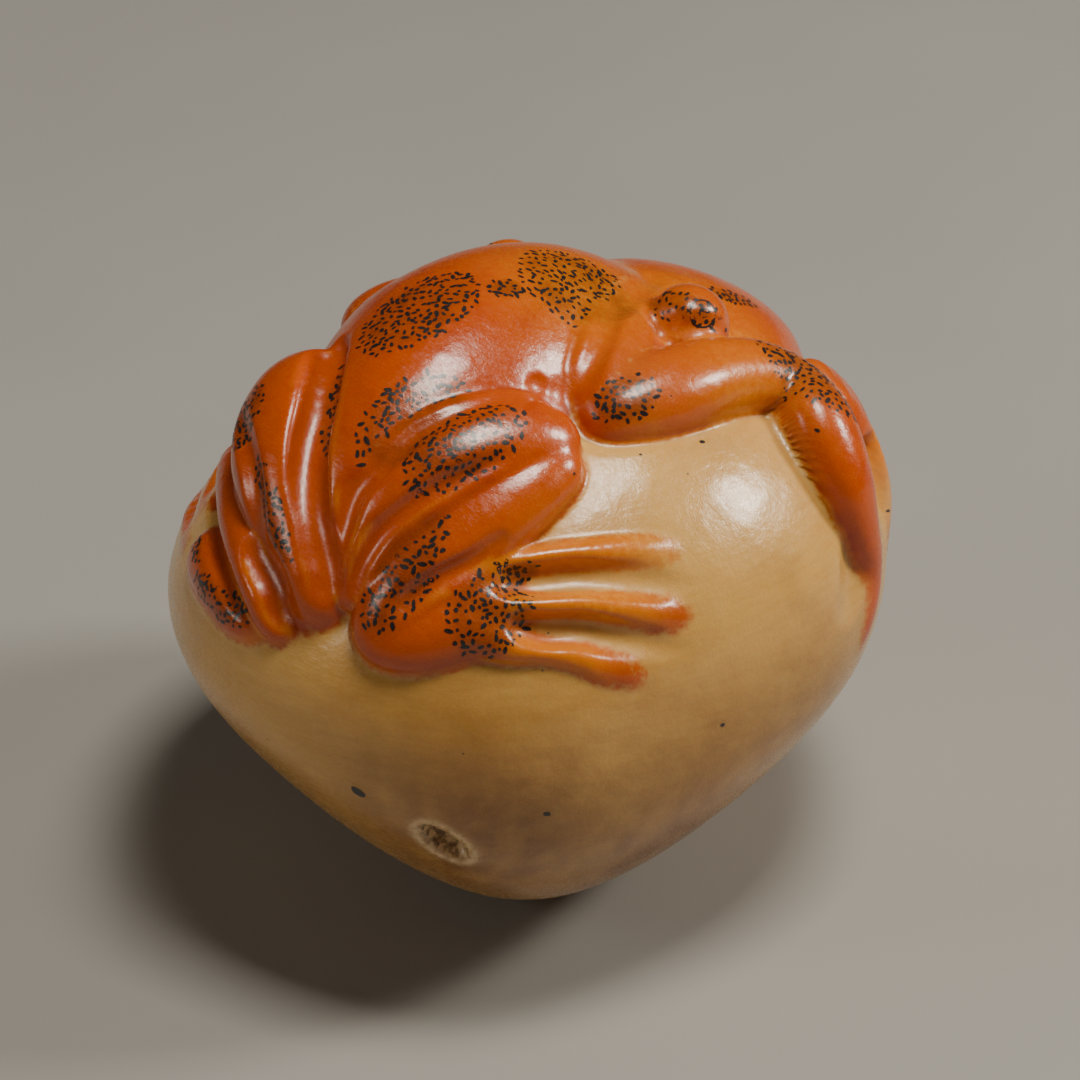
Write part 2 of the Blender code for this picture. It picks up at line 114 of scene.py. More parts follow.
RIGHT_UPPER_ARM = ((-40, 74, 3.2, 1.2), (-94, 73, 3.4, 2.3), (-114, 65, 2.8, 2.0), (-114, 61, 2.2, 1.2))
LEFT_UPPER_ARM = ((45, 72, 3.2, 1.2), (84, 68, 3.6, 2.4), (104, 59, 3.0, 3.4), (108, 55, 2.2, 3.2))
RIGHT_FOREARM = ((-118, 58, 1.9, 1.1), (-112.5, 59, 2.5, 1.8), (-102, 59, 3.0, 2.3),
                 (-87.5, 57.5, 3.0, 2.6), (-72, 54, 2.8, 2.7), (-63, 48.5, 2.5, 2.7),
                 (-60, 42.5, 2.4, 2.7), (-67, 38, 2.5, 3.5), (-70.5, 33, 2.3, 3.3),
                 (-72.5, 27.5, 2.0, 2.7), (-72.5, 21, 1.6, 1.7), (-70.5, 12, 1.3, 0.6),
                 (-73, 4, 1.3, 0.2), (-74.5, -0.5, 1.2, -0.3))
LEFT_FOREARM = ((108, 56, 2.5, 3.2), (90, 56, 2.8, 2.8), (68, 55, 2.9, 2.5), (54, 49, 2.7, 2.4),
                (47, 41, 2.4, 2.0), (46, 33, 2.1, 1.4), (51, 26, 1.7, 0.8), (57, 18, 1.4, 0.4),
                (64, 10, 1.2, -0.2))
RIGHT_FINGERS = (((-46, 37, 1.9, 1.9), (-40, 28, 1.4, 1.4), (-37, 20, 1.1, 0.8), (-35, 13, 1.2, -0.1)),
                 ((-48, 33, 1.8, 1.8), (-48, 23, 1.3, 1.2), (-49, 14, 1.1, 0.7), (-51, 6, 1.2, -0.2)))
RIGHT_FINGER_GAPS = (((-43, 24, 0.3), (-42, 17, 0.4), (-42, 10, -0.1)),
                     ((-51, 24, 0.2), (-54, 16, 0.4), (-57, 8, -0.1)))

# Hollows: stations of azimuth and elevation, a gouge radius and a depth for each.
ARM_HOLLOW = ((-127, 56, 0.3), (-118, 55, 0.5), (-106.5, 54.5, 0.6), (-96, 53.5, 0.6), (-84, 53, 0.6),
              (-72, 49, 0.6), (-59.5, 42, 0.6), (-56, 33.5, 0.6), (-61, 28, 0.6), (-68, 23.5, 0.6),
              (-74.5, 18, 0.5), (-80, 11.5, 0.3))
ARM_HOLLOW_RADIUS = 2.0
RIGHT_TOE_HOLLOWS = (
    ((-146, 29, -0.2), (-141, 29.5, 0.25), (-134.5, 30, 0.4), (-126.5, 29, 0.35), (-119.5, 27.5, 0.2),
     (-113, 26, -0.3)),
    ((-143.5, 22.5, -0.2), (-139.5, 22, 0.25), (-134.5, 22, 0.4), (-129, 20.5, 0.4),
     (-123, 18.5, 0.25), (-115.5, 16, -0.3)),
)
LEFT_TOE_HOLLOWS = (((135, 20, 0.2), (126, 21, 0.4), (112, 21, -0.1)),
                    ((137, 14, 0.2), (128, 13, 0.4), (115, 11, -0.1)))
TOE_HOLLOW_RADIUS = 1.05
FINGER_GAP_RADIUS = 0.9
# Creases between the parts: stations of azimuth, elevation and depth below the surface.
BACK_RIGHT_CUT = ((-173.5, 28.5, 0.2), (-174, 33.5, 0.4), (-174, 37.5, 0.45), (-172, 41, 0.45),
                  (-169, 45, 0.45), (-166, 49, 0.45), (-161, 52.5, 0.4), (-154.5, 56, 0.3),
                  (-146, 58.5, 0.1), (-138, 62, -0.3))
RIGHT_THIGH_CUT = ((-170.5, 25, 0.1), (-170, 28, 0.4), (-168, 33, 0.5), (-164.5, 37, 0.5),
                   (-160.5, 40.5, 0.5), (-156, 43.5, 0.4), (-150, 46.5, 0.15), (-145.5, 48.5, -0.3))
RIGHT_SHIN_CUT = ((-163.5, 23, -0.2), (-161.5, 25, 0.4), (-159.5, 27, 0.6), (-156, 29.5, 0.6),
                  (-152, 32, 0.5), (-148, 35.5, 0.2))
BACK_LEFT_CUT = ((154.5, 54, 0.8), (167, 48, 1.2), (172.5, 42, 1.2), (176.5, 37, 1.1),
                 (-179, 31.5, 0.8), (-176.5, 27.5, 0.5), (-173.5, 24.5, 0.1))
LEFT_THIGH_CUT = ((155, 38.5, 0.3), (161, 37, 0.4), (167, 33, 0.5), (171, 27, 0.5), (176, 22, 0.4),
                  (-180, 19.5, 0.1))
LEFT_SHIN_CUT = ((142.5, 22, 0.2), (151, 21.5, 0.3), (163.5, 19.5, 0.4), (171, 16, 0.2))
SHOULDER_CUT = ((-12.5, 63.5, 0.1), (-33, 71.5, 0.25), (-64.5, 75, 0.35), (-90.5, 74.5, 0.4),
                (-113, 69, 0.4), (-122.5, 65, 0.4), (-127.5, 62.5, 0.2))
EYE_CUT = ((-60.5, 72.5, 0.1), (-67, 69.5, 0.3), (-67, 66.5, 0.4), (-66.5, 63.5, 0.3),
           (-59.5, 58.5, 0.1))
CUT_RADIUS = 0.8
DEEP_CUT_RADIUS = 1.4
WIDE_CUT_RADIUS = 1.1
PORE = (-155, -12)
PORE_HALF_SIZE = (1.0, 1.9, 1.6)
PORE_TURN = -40.0

# Ink stipple patches: part, centre, direction of the long axis, half lengths and marks per square mm.
STIPPLE = (
    ("back", (169, 66.5), (168.5, 76.5), 4.5, 2.8, 4.2),
    ("back", (-169, 50), (-162.5, 57.5), 4.1, 2.7, 4.0),
    ("back", (168.5, 47.5), (160, 53.5), 3.6, 0.9, 4.2),
    ("back", (-77, 82.5), (-47, 73.5), 4.3, 3.9, 3.6),
    ("back", (-167.5, 78.5), (-158.5, 81), 1.2, 0.9, 5.5),
    ("thigh", (-156.5, 48), (-146, 54.5), 4.3, 2.1, 4.4),
    ("shin", (-163, 29.5), (-159, 38), 4.2, 1.8, 4.2),
    ("foot", (-148.5, 25.5), (-152.5, 19.5), 3.1, 2.4, 4.6),
    ("foot", (-145.5, 30), (-141, 32), 1.7, 0.8, 4.4),
    ("arm", (-114.5, 58), (-104, 58), 2.2, 1.5, 4.4),
    ("arm", (-63, 44.5), (-66, 36.5), 4.0, 2.3, 4.2),
    ("eye", (-61, 66.5), (-59, 60), 2.7, 1.0, 4.4),
    ("thigh", (172, 31), (165, 36.5), 3.9, 1.0, 4.2),
    ("thigh", (155.5, 39.5), (153.5, 44), 2.2, 1.7, 4.2),
    ("foot", (165, 15.5), (172.5, 15), 3.3, 1.0, 4.6),
    ("foot", (152, 18.5), (147.5, 18.5), 2.3, 0.5, 4.2),
    ("head", (-24.5, 51.5), (-23.5, 45), 2.6, 0.9, 4.0),
    ("arm", (-55, 9.5), (-53, 13), 1.5, 0.35, 3.0),
)
MARK_WIDTH = (0.19, 0.32)
MARK_STRETCH = (1.0, 2.3)
MARK_POINTS = 10
MARK_WOBBLE = 0.16
MARK_LIFT = 0.014
INK_REACH = 0.2

# Pale rim around the germ pore: where it's strongest and how wide it is.
PORE_RIM = (0.4, 0.35)

# The ring and dot drawn on each eye, and the direction they face.
IRIS_RADIUS = 0.95
PUPIL_RADIUS = 0.34
LINE_WIDTH = 0.12
LINE_POINTS = 28
EYE_LOOK = (-110.5, 43.5)

# Dark flecks on the nut and the hand: azimuth, elevation, half length and half width.
FLECKS = ((-167.5, -5, 0.55, 0.36),
          (-96.5, 47.5, 0.2, 0.13),
          (-75, 38.5, 0.2, 0.12),
          (-110.5, 1.5, 0.2, 0.14),
          (-140, -6, 0.26, 0.16),
          (-51.5, 12.5, 0.3, 0.1),
          (-51.5, 5.5, 0.4, 0.1),
          (-133.5, 46, 0.12, 0.1),
          (-114.5, 49, 0.1, 0.08))
FLECK_POINTS = 12
FLECK_WOBBLE = 0.12

# Depths at which creases, hollows and ridges are felt for.
CREASE_REACH = 0.5
HOLLOW_REACH = 1.8
RIDGE_REACH = 1.2

# Spots where the nut is brown with painted shade low down, the dye is thin and yellow, deep and red,
# or worn away: strength, azimuth, elevation and reach.
BROWN_AND_SHADE_SPOTS = ((1.0, -150, -14, 16), (1.0, -118, -30, 20), (0.8, -92, -12, 14), (0.5, -60, -25, 16),
               (0.7, 60, -20, 16), (0.6, 175, -25, 13))
YELLOW_SPOTS = ((1.0, -80, 84, 7.5), (0.9, -112, 47, 3.5), (1.0, -132, 28, 7), (1.0, -122, 32, 5),
                (0.85, -78, 50, 6), (1.0, -56, 64, 3.6), (0.9, 56, 64, 3.6), (0.7, -30, 62, 6),
                (0.7, -48, 50, 5), (0.7, 124, 24, 5), (0.6, 60, 70, 6))
RED_SPOTS = ((1.0, -157, 44, 4.5), (0.8, -166, 30, 3.5), (0.6, -113, 61, 3.5), (1.0, -127, 14, 2.6),
             (0.8, -118, 22, 2.4), (0.6, -120, 34, 1.6), (0.7, 155, 46, 4), (0.6, -88, 52, 2.5))
WORN_SPOTS = ((0.75, -52, 14, 4.5), (0.45, -118, 31, 3.0), (0.4, -110, 24, 2.5), (0.35, -58, 40, 4),
              (0.4, -104, 60, 3), (0.5, 52, 12, 5), (0.35, 118, 28, 4))


def direction(azimuth, elevation):
    """Unit vectors: azimuth 0 is -Y, 90 is +X."""
    a = np.radians(azimuth)
    e = np.radians(elevation)
    return np.stack([np.sin(a) * np.cos(e), -np.cos(a) * np.cos(e), np.sin(e)], axis=-1)


def face_rings():
    """Normals and distances of the nut's soft faces."""
    normals = [direction(0.0, 90.0), direction(0.0, -90.0)]
    reach = [NUT_TOP_FACE, NUT_BOTTOM_FACE]
    rings = ((NUT_UPPER_FACES, NUT_RING_TILT), (NUT_MIDDLE_FACES, 0.0), (NUT_LOWER_FACES, -NUT_RING_TILT))
    for (faces, tilt), start in zip(rings, NUT_RING_START):
        for i, distance in enumerate(faces):
            normals.append(direction(start + i * 360.0 / len(faces), tilt))
            reach.append(distance)
    return np.array(normals), np.array(reach)


NORMALS, REACH = face_rings()


def nut(p):
    """Distance to the bare nut."""
    q = (p - np.array(NUT_CENTRE)) @ NORMALS.T - REACH
    top = q.max(axis=1)
    return top + np.log(np.exp(NUT_SHARPNESS * (q - top[:, None])).sum(axis=1)) / NUT_SHARPNESS


def gradient(shape, p, step=0.05):
    """Unit outward direction of a distance function."""
    sides = [shape(p + d) - shape(p - d) for d in np.eye(3) * step]
    g = np.stack(sides, axis=-1)
    return g / np.linalg.norm(g, axis=1, keepdims=True)


def onto(shape, rays, start=38.0, steps=40):
    """Points where rays from outside, towards the nut's centre, first meet a shape."""
    t = np.full(len(rays), start)
    centre = np.array(NUT_CENTRE)
    moving = np.arange(len(rays))
    for _ in range(steps):
        gap = shape(centre + rays[moving] * t[moving, None])
        t[moving] -= 0.85 * gap
        moving = moving[np.abs(gap) > 0.001]
        if not len(moving):
            break
    return centre + rays * t[:, None]


def curve(stations, steps=4):
    """Smooth curve through stations."""
    s = np.array(stations, dtype=float)
    e = np.vstack([2 * s[0] - s[1], s, 2 * s[-1] - s[-2]])
    rows = []
    for i in range(1, len(e) - 2):
        for t in np.arange(steps) / steps:
            rows.append(0.5 * (2 * e[i] + (e[i + 1] - e[i - 1]) * t
                               + (2 * e[i - 1] - 5 * e[i] + 4 * e[i + 1] - e[i + 2]) * t ** 2
                               + (3 * e[i] - e[i - 1] - 3 * e[i + 1] + e[i + 2]) * t ** 3))
    rows.append(e[-2])
    return np.array(rows)


def laid_on_nut(stations):
    """Surface points, normals and the remaining columns of curved stations."""
    s = np.array(stations, dtype=float)
    rays = direction(s[:, 0], s[:, 1])
    rows = curve(np.hstack([rays, s[:, 2:]]))
    rays = rows[:, :3] / np.linalg.norm(rows[:, :3], axis=1, keepdims=True)
    points = onto(nut, rays)
    return points, gradient(nut, points), rows[:, 3:]


def limb(stations, flatness):
    """A flattened roll along stations, standing proud of the nut."""
    points, normals, sizes = laid_on_nut(stations)
    centres = points + normals * (sizes[:, 1] - sizes[:, 0] / flatness)[:, None]
    return centres, sizes[:, 0], normals, flatness


def gouge(stations, radius):
    """A hollow along stations, cut below the nut's surface."""
    points, normals, sizes = laid_on_nut(stations)
    centres = points + normals * (radius - sizes[:, 0])[:, None]
    return centres, np.full(len(centres), radius), normals, 1.0


def cut(stations, radius):
    """A crease carved along stations on the finished surface."""
    s = np.array(stations, dtype=float)
    rays = direction(s[:, 0], s[:, 1])
    rows = curve(np.hstack([rays, s[:, 2:]]))
    rays = rows[:, :3] / np.linalg.norm(rows[:, :3], axis=1, keepdims=True)
    points = onto(uncut, rays)
    normals = gradient(uncut, points, 0.6)
    centres = points + normals * (radius - rows[:, 3])[:, None]
    return centres, np.full(len(centres), radius), normals, 1.0


def roll(p, shape):
    """Distance to a limb or a gouge."""
    centres, radii, normals, flatness = shape
    best = np.full(len(p), 1e9)
    low = centres.min(axis=0) - radii.max() - 3.0
    high = centres.max(axis=0) + radii.max() + 3.0
    near = np.all((p > low) & (p < high), axis=1)
    gap = np.linalg.norm(np.maximum(np.maximum(low - p, p - high), 0.0), axis=1) + 2.0
    best[~near] = gap[~near]
    q = p[near]
    found = np.full(len(q), 1e9)
    for i in range(len(centres) - 1):
        along = centres[i + 1] - centres[i]
        t = np.clip((q - centres[i]) @ along / (along @ along), 0.0, 1.0)[:, None]
        away = q - centres[i] - t * along
        n = normals[i] * (1 - t) + normals[i + 1] * t
        n /= np.linalg.norm(n, axis=1, keepdims=True)
        up = (away * n).sum(axis=1)
        size = np.sqrt((away ** 2).sum(axis=1) + (flatness ** 2 - 1) * up ** 2)
        radius = radii[i] + (radii[i + 1] - radii[i]) * t[:, 0]
        found = join(found, size - radius, CURVE_BLEND)
    best[near] = found / np.sqrt(flatness)
    return best


def ellipsoid(p, centre, half, turn=None):
    """Near distance to an ellipsoid."""
    q = p - np.array(centre)
    if turn is not None:
        q = q @ turn
    half = np.array(half)
    near = np.linalg.norm(q / half, axis=1)
    slope = np.linalg.norm(q / half ** 2, axis=1)
    return near * (near - 1) / np.maximum(slope, 1e-6)


def join(a, b, blend):
    """Union of two shapes with a soft crease."""
    h = np.clip(0.5 + 0.5 * (b - a) / blend, 0.0, 1.0)
    return b + (a - b) * h - blend * h * (1 - h)


def carve(a, b, blend):
    """Shape a with shape b cut away."""
    return -join(-a, b, blend)


def mirrored(stations):
    """The same stations on the frog's other side."""
    return tuple((MIRROR_SHIFT - s[0],) + tuple(s[1:]) for s in stations)


def eye(side):
    """Centre of one eye."""
    ray = direction(np.array([side * EYE_AZIMUTH]), np.array([EYE_ELEVATION]))
    point = onto(nut, ray)
    return point + gradient(nut, point) * (EYE_HEIGHT - EYE_RADIUS)


def pore_frame():
    """Centre and axes of the germ pore."""
    point = onto(nut, direction(np.array([PORE[0]]), np.array([PORE[1]])))
    out = gradient(nut, point)[0]
    level = np.cross(out, (0.0, 0.0, 1.0))
    level /= np.linalg.norm(level)
    rise = np.cross(level, out)
    a = np.radians(PORE_TURN)
    across = level * np.cos(a) + rise * np.sin(a)
    along = rise * np.cos(a) - level * np.sin(a)
    return point[0], np.stack([across, along, out], axis=1)


EYES = (eye(1), eye(-1))
THIGHS = (limb(RIGHT_THIGH, THIGH_FLATNESS), limb(LEFT_THIGH, TOE_FLATNESS))
SHINS = (limb(RIGHT_SHIN, SHIN_FLATNESS), limb(LEFT_SHIN, TOE_FLATNESS))
FEET = (limb(RIGHT_FOOT, THIGH_FLATNESS), limb(LEFT_FOOT, THIGH_FLATNESS))
TOES = (tuple(limb(t, TOE_FLATNESS) for t in RIGHT_TOES), tuple(limb(t, TOE_FLATNESS) for t in LEFT_TOES))
UPPER_ARMS = (limb(RIGHT_UPPER_ARM, TOE_FLATNESS), limb(LEFT_UPPER_ARM, TOE_FLATNESS))
FOREARMS = (limb(RIGHT_FOREARM, TOE_FLATNESS), limb(LEFT_FOREARM, TOE_FLATNESS))
FINGERS = (tuple(limb(f, TOE_FLATNESS) for f in RIGHT_FINGERS),
           tuple(limb(mirrored(f), TOE_FLATNESS) for f in RIGHT_FINGERS))
FINGER_GAPS = tuple(gouge(side(gap), FINGER_GAP_RADIUS)
                    for gap in RIGHT_FINGER_GAPS for side in (tuple, mirrored))
SKULL = limb(HEAD, HEAD_FLATNESS)
HOLLOWS = (gouge(ARM_HOLLOW, ARM_HOLLOW_RADIUS), gouge(mirrored(ARM_HOLLOW), ARM_HOLLOW_RADIUS))
TOE_HOLLOWS = tuple(gouge(h, TOE_HOLLOW_RADIUS) for h in RIGHT_TOE_HOLLOWS + LEFT_TOE_HOLLOWS)
PORE_POINT, PORE_AXES = pore_frame()


def back(p):
    """Distance to the frog's back, narrowing towards the rear."""
    rear = np.clip((p[:, 1] - BACK_TAPER_FROM) / BACK_TAPER_LENGTH, 0.0, 1.0)
    q = p.copy()
    q[:, 0] = (p[:, 0] - BACK_CENTRE[0] + 1.2 * rear) / (1 - BACK_TAPER * rear ** 1.3) + BACK_CENTRE[0]
    return 0.85 * ellipsoid(q, BACK_CENTRE, BACK_HALF_SIZE)


def eyes(p):
    """Distance to the nearer eye."""
    return np.minimum(*(np.linalg.norm(p - centre, axis=1) for centre in EYES)) - EYE_RADIUS


def foot(p, side):
    """Distance to a hind foot with its toes."""
    d = roll(p, FEET[side])
    for toe in TOES[side]:
        d = join(d, roll(p, toe), 0.5)
    return d


def hand(p, side):
    """Distance to a forearm with its fingers."""
    d = roll(p, FOREARMS[side])
    for finger in FINGERS[side]:
        d = join(d, roll(p, finger), 0.5)
    return d


def uncut(p):
    """Distance to the carving before its creases are cut."""
    d = nut(p)
    for hollow in HOLLOWS:
        d = carve(d, roll(p, hollow), 0.8)
    d = join(d, back(p), 0.6)
    d = join(d, roll(p, SKULL), 0.8)
    d = join(d, eyes(p), 0.35)
    for side in (0, 1):
        d = join(d, roll(p, UPPER_ARMS[side]), 0.5)
        d = join(d, foot(p, side), 0.5)
        d = join(d, roll(p, SHINS[side]), 0.25)
        d = join(d, roll(p, THIGHS[side]), 0.25)
        d = join(d, hand(p, side), 0.6)
    for hollow in TOE_HOLLOWS + FINGER_GAPS:
        d = carve(d, roll(p, hollow), 0.4)
    return d


CUTS = (cut(BACK_RIGHT_CUT, WIDE_CUT_RADIUS),)
CUTS += tuple(cut(s, CUT_RADIUS) for s in (RIGHT_THIGH_CUT, RIGHT_SHIN_CUT, LEFT_SHIN_CUT,
                                          EYE_CUT))
CUTS += tuple(cut(s, DEEP_CUT_RADIUS) for s in (BACK_LEFT_CUT, LEFT_THIGH_CUT, SHOULDER_CUT))


def carving(p):
    """Distance to the whole carving."""
    d = uncut(p)
    for crease in CUTS:
        d = carve(d, roll(p, crease), 0.3)
    d = carve(d, ellipsoid(p, PORE_POINT, PORE_HALF_SIZE, PORE_AXES), 0.3)
    return np.maximum(d, BASE_LEVEL - p[:, 2])


PARTS = ("back", "head", "eye", "thigh", "shin", "foot", "arm")


def parts(p):
    """Distance to each part of the frog, one column for each name in PARTS."""
    arms = [np.minimum(roll(p, UPPER_ARMS[s]), hand(p, s)) for s in (0, 1)]
    return np.stack([
        back(p), roll(p, SKULL), eyes(p),
        np.minimum(roll(p, THIGHS[0]), roll(p, THIGHS[1])),
        np.minimum(roll(p, SHINS[0]), roll(p, SHINS[1])),
        np.minimum(foot(p, 0), foot(p, 1)),
        np.minimum(*arms),
    ], axis=1)


# Camera: azimuth, elevation and distance, with its target in the nut's frame and its lens.
CAMERA = (219.0, 30.0, 303.0)
CAMERA_TARGET = (0.0, 0.0, 24.3)
LENS = 150.0
SENSOR = 36.0

# Lights: azimuth, elevation, distance, size in metres and power in watts.
KEY_LIGHT = (-47.0, 35.0, 500.0, 0.10, 1.5)
TOP_LIGHT = (-84.0, 76.0, 500.0, 0.15, 1.9)
SIDE_LIGHT = (152.0, 26.0, 500.0, 0.14, 0.34)
LIGHT_COLOUR = (1.0, 0.92, 0.80)
ROOM = (0.034, 0.033, 0.032)


# Mesh building.
FINE_SIDE = direction(-150.0, 50.0)
FINE_PULL = 0.28


def sphere_grid(n):
    """A cube grid swollen to a sphere, finer on the frog's side: rays and quads."""
    bm = bmesh.new()
    bmesh.ops.create_cube(bm, size=2.0)
    bmesh.ops.subdivide_edges(bm, edges=bm.edges[:], cuts=n - 1, use_grid_fill=True)
    cube = np.array([v.co[:] for v in bm.verts])
    quads = np.array([[v.index for v in f.verts] for f in bm.faces])
    bm.free()
    even = np.tan(cube * np.pi / 4)
    rays = even / np.linalg.norm(even, axis=1, keepdims=True) + FINE_SIDE * FINE_PULL
    return rays / np.linalg.norm(rays, axis=1, keepdims=True), quads


def vertex_normals(verts, quads):
    """Outward normals of a quad mesh."""
    a, b, c, d = (verts[quads[:, i]] for i in range(4))
    faces = np.cross(c - a, d - b)
    normals = np.zeros_like(verts)
    for i in range(4):
        np.add.at(normals, quads[:, i], faces)
    normals /= np.linalg.norm(normals, axis=1, keepdims=True)
    return normals * np.sign(((verts - np.array(NUT_CENTRE)) * normals).sum())


def neighbour_mean(values, edges, count):
    """Mean of each vertex's neighbours."""
    total = np.zeros_like(values)
    np.add.at(total, edges[:, 0], values[edges[:, 1]])
    np.add.at(total, edges[:, 1], values[edges[:, 0]])
    return total / count


def relax(verts, quads, rounds):
    """Slide points along the surface until they're evenly spaced, and pull them back onto it."""
    edges = np.concatenate([quads[:, [i, (i + 1) % 4]] for i in range(4)])
    edges = np.unique(np.sort(edges, axis=1), axis=0)
    count = np.bincount(edges.ravel(), minlength=len(verts))[:, None].astype(float)
    for _ in range(rounds):
        n = vertex_normals(verts, quads)
        slide = neighbour_mean(verts, edges, count) - verts
        slide -= (slide * n).sum(axis=1, keepdims=True) * n
        verts = verts + 0.6 * slide
        verts -= n * carving(verts)[:, None] * 0.7
    return verts


def noise_at(points, scale, octaves=3, offset=0.0):
    """Soft noise of about -1 to 1."""
    shift = Vector((offset, 0, 0))
    return np.array([noise.fractal(Vector(q) * scale + shift, 1.0, 2.0, octaves) for q in points])


def build_body():
    """The carving's surface: points and quads in the nut's frame, in mm."""
    rays, quads = sphere_grid(GRID)
    verts = onto(carving, rays)
    verts = relax(verts, quads, 5)
    return verts, quads


def surface_shade(verts, normals):
    """How far each point sits in a crease or on a ridge, at a fine and a broad scale."""
    crease = np.clip(1 - carving(verts + normals * CREASE_REACH) / CREASE_REACH, 0, 1)
    hollow = np.clip(1 - carving(verts + normals * HOLLOW_REACH) / HOLLOW_REACH, 0, 1)
    ridge = np.clip(1 + carving(verts - normals * RIDGE_REACH) / RIDGE_REACH, 0, 1)
    return crease, hollow, ridge


def bell(p, azimuth, elevation, reach):
    """Soft round zone on the nut: 1 at its middle, falling to an eighth at its reach."""
    middle = onto(nut, direction(np.array([azimuth]), np.array([elevation])))[0]
    gap = np.linalg.norm(p - middle, axis=1) / reach
    return np.exp(-2 * gap ** 2)


def zone(p, spots):
    """The strongest of several soft spots at each point."""
    return np.maximum.reduce([strength * bell(p, *spot) for strength, *spot in spots])


def to_part(p):
    """From the nut's frame in mm to the part's frame in metres."""
    return (p - np.array((SHIFT[0], SHIFT[1], BASE_LEVEL))) * MM


def new_piece(name, verts, faces, normals=None):
    """A smooth mesh object that rides on the part."""
    mesh = bpy.data.meshes.new(name)
    mesh.from_pydata(to_part(verts).tolist(), [], faces)
    mesh.polygons.foreach_set("use_smooth", np.ones(len(mesh.polygons), dtype=bool))
    if normals is not None:
        mesh.normals_split_custom_set_from_vertices(normals.tolist())
    ob = bpy.data.objects.new(name, mesh)
    bpy.context.scene.collection.objects.link(ob)
    return ob


def attach(ob, name, values):
    """A number at each point, for the material to read."""
    attribute = ob.data.attributes.new(name, "FLOAT", "POINT")
    attribute.data.foreach_set("value", np.asarray(values, dtype=np.float32))


# Ink.
def mark_shape(rng):
    """Outline points of one pen mark, and its middle."""
    width = rng.uniform(*MARK_WIDTH) / 2
    length = width * rng.uniform(*MARK_STRETCH)
    turns = np.linspace(0, 2 * np.pi, MARK_POINTS, endpoint=False)
    wobble = 1 + rng.uniform(-MARK_WOBBLE, MARK_WOBBLE, MARK_POINTS)
    ring = np.stack([np.cos(turns) * length, np.sin(turns) * width], axis=1) * wobble[:, None]
    spin = rng.uniform(0, np.pi)
    turn = np.array([[np.cos(spin), -np.sin(spin)], [np.sin(spin), np.cos(spin)]])
    return np.vstack([ring, [(0.0, 0.0)]]) @ turn.T


MARK_FACES = [(MARK_POINTS, i, (i + 1) % MARK_POINTS) for i in range(MARK_POINTS)]


def frame_at(n, along):
    """Axes across a surface with normal n, the first one near a direction."""
    u = along - n * (along @ n)
    u /= np.linalg.norm(u)
    return u, np.cross(n, u)


class Ground:
    """The carving's surface, for placing marks on it."""

    def __init__(self, verts, quads, normals, owners):
        self.tree = BVHTree.FromPolygons(verts.tolist(), quads.tolist())
        self.quads, self.verts, self.normals, self.owners = quads, verts, normals, owners

    def drop(self, point, n, reach=3.0):
        """The surface point under a point, along -n, with its smooth normal and the nearest vertex."""
        hit, _, face, _ = self.tree.ray_cast(Vector(point + n * reach), Vector(-n), 2 * reach)
        if hit is None:
            return None
        hit = np.array(hit)
        corners = self.quads[face]
        gap = np.linalg.norm(self.verts[corners] - hit, axis=1) + 1e-6
        normal = (self.normals[corners] / gap[:, None]).sum(axis=0)
        return hit, normal / np.linalg.norm(normal), corners[np.argmin(gap)]


def scatter(rng, half_a, half_b, density):
    """Evenly spread points in an ellipse with a ragged edge."""
    count = int(np.pi * half_a * half_b * density)
    spots = []
    for _ in range(count):
        best, gap = None, -1
        for _ in range(7):
            r = np.sqrt(rng.uniform(0, 1.12))
            a = rng.uniform(0, 2 * np.pi)
            q = np.array((r * np.cos(a) * half_a, r * np.sin(a) * half_b))
            near = min((np.hypot(*(q - s)) for s in spots), default=9.0)
            if near > gap:
                best, gap = q, near
        spots.append(best)
    return spots


def patch_frames():
    """Middle, two axes and normal of each stipple patch."""
    middles = onto(carving, direction(*np.array([row[1] for row in STIPPLE]).T))
    ends = onto(carving, direction(*np.array([row[2] for row in STIPPLE]).T))
    normals = gradient(carving, middles, 0.8)
    return [(m, *frame_at(n, e - m), n) for m, e, n in zip(middles, ends, normals)]


def inked(verts, frames):
    """How far each point lies inside a stipple patch."""
    best = np.zeros(len(verts))
    for (_, _, _, half_a, half_b, _), (middle, u, v, n) in zip(STIPPLE, frames):
        q = verts - middle
        gap = np.sqrt(((q @ u) / half_a) ** 2 + ((q @ v) / half_b) ** 2 + ((q @ n) / 3.0) ** 2)
        best = np.maximum(best, 1 - smooth_step(gap, 0.75, 1.1))
    return best


def stipple(ground, frames):
    """All ink on the carving: points, faces and normals."""
    rng = np.random.default_rng(SEED)
    points, faces, normals = [], [], []
    for (part, _, _, half_a, half_b, density), (middle, u, v, n) in zip(STIPPLE, frames):
        for spot in scatter(rng, half_a, half_b, density):
            shape = mark_shape(rng)
            at = ground.drop(middle + u * spot[0] + v * spot[1], n)
            if at is None or ground.owners[at[2]] != PARTS.index(part):
                continue
            mu, mv = frame_at(at[1], u)
            marks = [ground.drop(at[0] + mu * q[0] + mv * q[1], at[1], 0.6) for q in shape]
            if any(m is None for m in marks):
                continue
            base = len(points)
            points += [m[0] + m[1] * MARK_LIFT for m in marks]
            normals += [m[1] for m in marks]
            faces += [tuple(base + i for i in f) for f in MARK_FACES]
    eye_lines(ground, points, faces, normals)
    flecks(rng, ground, points, faces, normals)
    return np.array(points), faces, np.array(normals)


